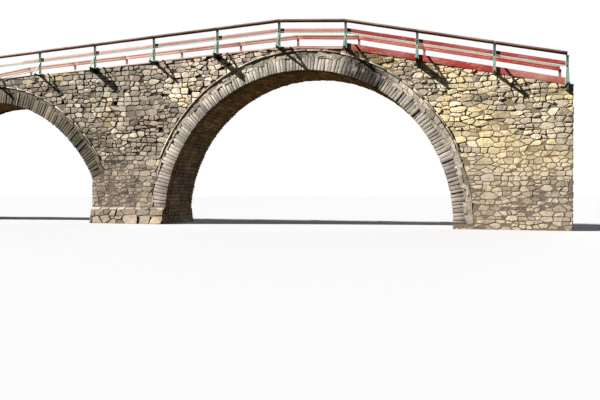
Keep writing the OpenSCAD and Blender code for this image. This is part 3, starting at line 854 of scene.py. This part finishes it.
def ringJoints(name, arch, start, finish):
    # mortar a little behind the arch stones' faces
    heap, rnd, steps, rows = Heap(name), random.Random(ringBed["seed"]), ringBed["steps"], len(ringBed["shares"])
    for side in (-1, 1):
        points, faces = [], []
        for i in range(steps + 1):
            a = start + 0.002 + (math.pi - 2 * start - 0.004) * i / steps
            crown = arch is mainArch and ringShape["crown"][0] < a < ringShape["crown"][1]
            for share in ringBed["shares"]:
                r = arch["r"] + bridge["ring"] * share
                y = bridge["halfWidth"] - ringBed["crownDepth" if crown else "depth"] + rnd.uniform(-0.004, 0.003)
                points.append((arch["x"] + r * math.cos(a), side * y, arch["z"] + r * math.sin(a)))
        for i in range(steps):
            for k in range(rows - 1):
                at = i * rows + k
                quad = (at, at + 1, at + rows + 1, at + rows)
                faces.append(quad if side > 0 else quad[::-1])
        heap.add(points, faces, [(0.5, 0.5, 1.0)] * len(points))
    heap.build(finish, "arch_stone")


ringFilling("mainRingFilling", mainArch, 0.0, "fillingStone")
ringJoints("mainRingMortar", mainArch, 0.0, "ringMortar")
ringFilling("sideRingFilling", sideArch, sideAngle, "oldArchStone")
ringJoints("sideRingMortar", sideArch, sideAngle, "oldMortar")

soffitStones = {"rise": (0.004, 0.02), "slope": 0.03, "half": 0.79, "long": (0.22, 0.62), "gap": 0.008}
soffitCourses = {"main": 118, "side": 96}


def soffit(name, arch, start, courses, seed):
    rnd, heap, radius, gap = random.Random(seed), Heap(name), arch["r"], soffitStones["gap"]
    cuts = [start]
    while cuts[-1] < math.pi - start - 0.5 * (math.pi - 2 * start) / courses:
        cuts.append(cuts[-1] + (math.pi - 2 * start) / courses * rnd.uniform(0.75, 1.3))
    cuts[-1] = math.pi - start

    def place(u, v, h):
        return arch["x"] + (radius - h) * math.cos(u / radius), v, arch["z"] + (radius - h) * math.sin(u / radius)

    for a0, a1 in zip(cuts, cuts[1:]):
        u0, u1 = a0 * radius + gap, a1 * radius - gap
        y = -0.8 + rnd.uniform(-0.2, 0.0)
        while y < 0.8:
            y1 = y + rnd.uniform(*soffitStones["long"])
            low, high = max(y, -soffitStones["half"]), min(y1, soffitStones["half"])
            if high - low > 0.05:
                stoneOn(heap, [(u0, low + gap), (u0, high - gap), (u1, high - gap), (u1, low + gap)], place, rnd,
                        {**usualStones, **soffitStones})
            y = y1
    heap.build("soffitStone", "soffit_stone")


soffit("mainSoffit", mainArch, 0.0, soffitCourses["main"], 71)
soffit("sideSoffit", sideArch, sideAngle, soffitCourses["side"], 72)

# the pier's footing: a battered face with a sloping shelf over it
foot = {"tall": 0.55, "batter": 0.1, "out": 1.25, "half": 1.69, "shelf": 0.128, "slant": 0.7071, "seed": 81}
footFace = {"wide": 0.4, "tall": 0.24, "rise": (0.012, 0.04)}
footShelf = {"wide": 0.34, "tall": 0.14, "rise": (0.008, 0.02)}
footing = Heap("footingStones")
run, slant = math.hypot(foot["batter"], foot["tall"]), foot["slant"]
for side in (-1, 1):
    rnd = random.Random(foot["seed"] + side)

    def onFace(u, v, h):
        t = v / run
        return u, side * (foot["out"] - foot["batter"] * t + h * 0.98), max(foot["tall"] * t + h * 0.18, 0.0)

    def onShelf(u, v, h):
        inner = foot["out"] - foot["batter"]
        return u, side * (inner - v * slant + h * slant), foot["tall"] + v * slant + h * slant

    for stones, place, depth, top in ((footFace, onFace, run, run - 0.006),
                                      (footShelf, onShelf, 0.13, foot["shelf"])):
        layStones(footing, (-1.75, 1.75, 0.0, depth), stones, place, rnd, flip=side > 0,
                  bounds=[(0, -1, -0.004), (0, 1, top), (1, 0, foot["half"]), (-1, 0, foot["half"])])
footing.build("footStone", "footing_stone")

pavingStones = {"wide": 0.5, "tall": 0.34, "rise": (0.006, 0.016), "slope": 0.012}
paving = {"half": 1.015, "end": 16.395}
flags = Heap("pavingFlags")
layStones(flags, (-16.6, 16.6, -1.1, 1.1), pavingStones, lambda u, v, h: (u, v, deckAt(u) + bridge["tread"] + h),
          random.Random(91), bounds=[(0, 1, paving["half"]), (0, -1, paving["half"]), (1, 0, paving["end"]),
                                     (-1, 0, paving["end"])])
flags.build("flagStone", "paving_stone")

boardWear = {"sag": (-0.008, -0.002), "lean": 0.002, "innerFrom": 1.04, "worn": 0.013, "uneven": 0.12}


def boardShape(side, fade, deeper=0.0):
    # boards sag a little; the toe boards reach down over the wall's edge and the handrail's inner edge is worn
    def shape(group, rnd):
        x = sum(v.co.x for v in group) / len(group)
        base = min(v.co.z - deckAt(v.co.x) for v in group)
        lift, lean = rnd.uniform(*boardWear["sag"]), rnd.uniform(-boardWear["lean"], boardWear["lean"])
        for v in group:
            low = v.co.z - deckAt(v.co.x) < base + 0.03
            v.co.z += lift - (deeper if low else 0.0)
            v.co.y -= side * abs(lean)
            if v.co.y * side < boardWear["innerFrom"]:
                v.co.y += side * boardWear["worn"]
        return rnd.random(), min(1.0, max(0.0, fade(x) + rnd.uniform(-boardWear["uneven"], boardWear["uneven"])))
    return shape


# how faded the boards are, as (up to x, share)
fades = {"upper": [(-4.27, 0.85), (1.2, 0.7), (6.5, 0.55), (9, 0.3), (99, 0.1)],
         "farRail": [(1.2, 0.85), (6.5, 0.7), (9, 0.5), (99, 0.3)],
         "nearRail": [(-5.0, 0.8), (1.2, 0.35), (99, 0.25)],
         "toe": [(-4.27, 1.0), (1.2, 0.92), (6.5, 0.6), (9, 0.4), (99, 0.05)]}
railDress = {"bevel": 0.009, "rough": 0.003, "cuts": 8, "segments": 2}
boardDress = {"bevel": 0.005, "rough": 0.003, "cuts": 8, "segments": 2}


def fadeOf(name):
    return lambda x: next(share for upTo, share in fades[name] if x < upTo)


for word, side in (("front", -1), ("back", 1)):
    dressed(f"handrail{word.title()}", f"handrail_{word}", "railPaint",
            boardShape(side, fadeOf("farRail" if side > 0 else "nearRail")), railDress, 101 + side)
    dressed(f"upperBoards{word.title()}", f"upper_boards_{word}", "redPaint",
            boardShape(side, fadeOf("upper")), boardDress, 111 + side)
    dressed(f"toeBoards{word.title()}", f"toe_boards_{word}", "toePaint",
            boardShape(side, fadeOf("toe"), deeper=0.02), boardDress, 121 + side)

# bolts through the boards' backs and the posts' foot plates
bolts = {"apart": 0.028, "board": 0.011, "toe": 0.008, "plate": 0.009, "inner": 1.054, "foot": 1.165,
         "frontHigh": 0.66, "backHigh": 0.912, "low": 0.035, "plateTop": 0.01}
boltHeads = Heap("boltHeads")


def bolt(at, axis, size):
    # a low round head of three rings of eight corners
    axis = Vector(axis)
    side = axis.cross(Vector((1, 0, 0))).normalized()
    other = axis.cross(side)
    points, faces = [], []
    for reach, height in ((size, 0.0), (size, 0.006), (size * 0.7, 0.0085)):
        for i in range(8):
            away = side * math.cos(i * math.pi / 4) + other * math.sin(i * math.pi / 4)
            points.append(tuple(Vector(at) + axis * height + away * reach))
    for low in (0, 8):
        faces += [(low + i, low + (i + 1) % 8, low + 8 + (i + 1) % 8, low + 8 + i) for i in range(8)]
    boltHeads.add(points, faces + [tuple(range(16, 24))], [(0.5, 0.5, 1.0)] * 24)


for x in postX:
    top = deckAt(x)
    for side in (-1, 1):
        inner, high = side * bolts["inner"], bolts["frontHigh" if side < 0 else "backHigh"]
        for dx in (-bolts["apart"], bolts["apart"]):
            bolt((x + dx, inner, top + high), (0, -side, 0), bolts["board"])
            bolt((x + dx, inner, top + bolts["low"]), (0, -side, 0), bolts["toe"])
            bolt((x + dx * 1.4, side * bolts["foot"], top + bolts["plateTop"]), (0, 0, 1), bolts["plate"])
boltHeads.build("darkSteel", "green_steel")

# finishes of the CAD nodes that stay in sight
spandrels = [f"{part}_spandrel_{word}" for part in ("left", "middle", "right") for word in ("front", "back")]
cadFinishes = {
    "mortar": ["pier", "left_abutment", "right_abutment", *spandrels, "pier_footing", "deck_paving"],
    "shadeMortar": ["main_barrel", "side_barrel", "fill"],
    "greenSteel": ["posts_front", "posts_back"],
    "braceSteel": ["braces_front", "braces_back"],
    "darkSteel": ["deck_beams"],
    "paleSteel": ["rail_bars_front", "rail_bars_back"]}
for finish, names in cadFinishes.items():
    for name in names:
        for slot in nodes[name].material_slots:
            slot.material = finishes[finish]
print("CAD materials set")

# floor, light and camera; the bounce is what the floor gives back, and the seen colour is for the camera alone
studio = {"floor": 300, "bounce": ink(54, 52, 48), "seen": ink(164, 166, 171), "sky": (0.92, 0.96, 1.0, 1.0),
          "skyStrength": 0.065}
lamps = {"fill": {"energy": 1.3, "angle": 60, "color": (0.94, 0.97, 1.0), "towards": (-0.35, -0.8, -0.35)},
         "sun": {"energy": 12.6, "angle": 0.7, "color": (1.0, 0.965, 0.9), "towards": (0.755, 0.27, -0.598)}}
view = {"at": (13.939, -21.443, 1.147), "turn": (math.pi / 2 - 0.0086, 0, 0.3151), "focus": 588.56, "width": 600}

far = studio["floor"]
floorMesh = bpy.data.meshes.new("floor")
floorMesh.from_pydata([(-far, -far, 0), (far, -far, 0), (far, far, 0), (-far, far, 0)], [], [(0, 1, 2, 3)])
floor = newObject("floor", floorMesh)
g = Graph(bpy.data.materials.new("floor"))
floorColour = g.blend(g.node("ShaderNodeLightPath", out="Is Camera Ray"), studio["bounce"], studio["seen"])
floorMesh.materials.append(g.finish(floorColour, 0.95, gloss=0.1))
floor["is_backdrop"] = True

world = bpy.data.worlds.new("studio")
bpy.context.scene.world = world
g = Graph(world)
lit = g.node("ShaderNodeBackground", {}, {"Color": studio["sky"], "Strength": studio["skyStrength"]})
white = g.node("ShaderNodeBackground", {}, {"Color": (1.0, 1.0, 1.0, 1.0), "Strength": 1.0})
cameraRay = g.node("ShaderNodeLightPath", out="Is Camera Ray")
g.node("ShaderNodeOutputWorld", {}, {"Surface": g.node("ShaderNodeMixShader", {}, {0: cameraRay, 1: lit, 2: white})})

for name, lamp in lamps.items():
    light = bpy.data.lights.new(name, "SUN")
    light.energy, light.angle, light.color = lamp["energy"], math.radians(lamp["angle"]), lamp["color"]
    lightObject = newObject(name, light)
    lightObject.rotation_mode = "QUATERNION"
    lightObject.rotation_quaternion = Vector(lamp["towards"]).to_track_quat("-Z", "Y")

camera = bpy.data.cameras.new("camera")
camera.sensor_width, camera.sensor_fit = 36.0, "HORIZONTAL"
camera.lens, camera.clip_end = view["focus"] * 36 / view["width"], 1000
cameraObject = newObject("camera", camera)
cameraObject.location = view["at"]
cameraObject.rotation_euler = view["turn"]
bpy.context.scene.camera = cameraObject
bpy.context.scene.view_settings.view_transform = "Standard"
print("floor, lights and camera set")

plain = lambda box: [[float(c) for c in corner] for corner in box]
{"cad": plain(cadBox), "visual": plain(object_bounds())}
